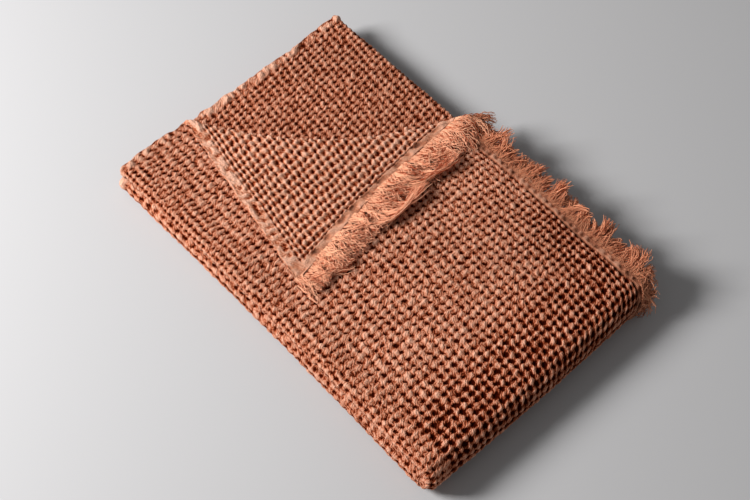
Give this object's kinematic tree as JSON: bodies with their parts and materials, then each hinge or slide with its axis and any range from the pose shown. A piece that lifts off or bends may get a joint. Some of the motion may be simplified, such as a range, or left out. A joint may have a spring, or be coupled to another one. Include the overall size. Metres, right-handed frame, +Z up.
{
  "type": "throw blanket",
  "caption": "Chunky waffle-weave cotton throw with fringed ends, folded to a flat stack with one corner turned back to show its reverse.",
  "frame": {"origin": "middle of the overall box, on the surface the folded throw lies on", "axes": "+X along the stack from its hemmed end to its turned end, +Y from its rolled side to its fringed side, +Z up"},
  "size_m": [0.6532, 0.466, 0.0651],
  "materials": {
    "waffle_cotton": "matt chunky waffle-weave cotton, terracotta",
    "fringe_cotton": "loose twisted cotton yarn ends, terracotta"
  },
  "bodies": {
    "root": {"throw_cloth": "waffle_cotton", "fringe_corner": "fringe_cotton", "fringe_top": "fringe_cotton", "fringe_turn": "fringe_cotton", "fringe_floor": "fringe_cotton", "fringe_inner": "fringe_cotton"}
  },
  "joints": []
}
